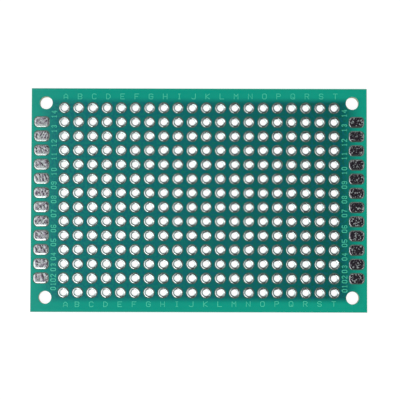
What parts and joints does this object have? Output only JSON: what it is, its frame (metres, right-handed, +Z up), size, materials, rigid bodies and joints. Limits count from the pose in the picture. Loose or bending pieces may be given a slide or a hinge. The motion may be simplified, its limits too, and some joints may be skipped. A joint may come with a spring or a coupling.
{
  "type": "prototype board",
  "caption": "Flat double-sided prototype board: a grid of plated-through holes in a green masked laminate, with solder pads along both ends and bare corner mounting holes.",
  "frame": {"origin": "under the middle of the board, level with the crowns of the underside lands that it rests on", "axes": "+X along the long side from column A to column T, +Y along the short side from row 01 to row 14, +Z up through the board to the printed face"},
  "size_m": [0.06, 0.04, 0.0017],
  "materials": {
    "laminate": "cut glass-epoxy laminate, satin",
    "solder_mask": "glossy green solder-mask ink",
    "solder": "hot-air levelled solder, bright and uneven"
  },
  "bodies": {
    "root": {"laminate": "laminate", "solder_mask_top": "solder_mask", "solder_mask_bottom": "solder_mask", "hole_plating_column_a": "solder", "hole_plating_column_b": "solder", "hole_plating_column_c": "solder", "hole_plating_column_d": "solder", "hole_plating_column_e": "solder", "hole_plating_column_f": "solder", "hole_plating_column_g": "solder", "hole_plating_column_h": "solder", "hole_plating_column_i": "solder", "hole_plating_column_j": "solder", "hole_plating_column_k": "solder", "hole_plating_column_l": "solder", "hole_plating_column_m": "solder", "hole_plating_column_n": "solder", "hole_plating_column_o": "solder", "hole_plating_column_p": "solder", "hole_plating_column_q": "solder", "hole_plating_column_r": "solder", "hole_plating_column_s": "solder", "hole_plating_column_t": "solder", "edge_pads_top_left": "solder", "edge_pads_top_right": "solder", "edge_pads_bottom_left": "solder", "edge_pads_bottom_right": "solder"}
  },
  "joints": []
}
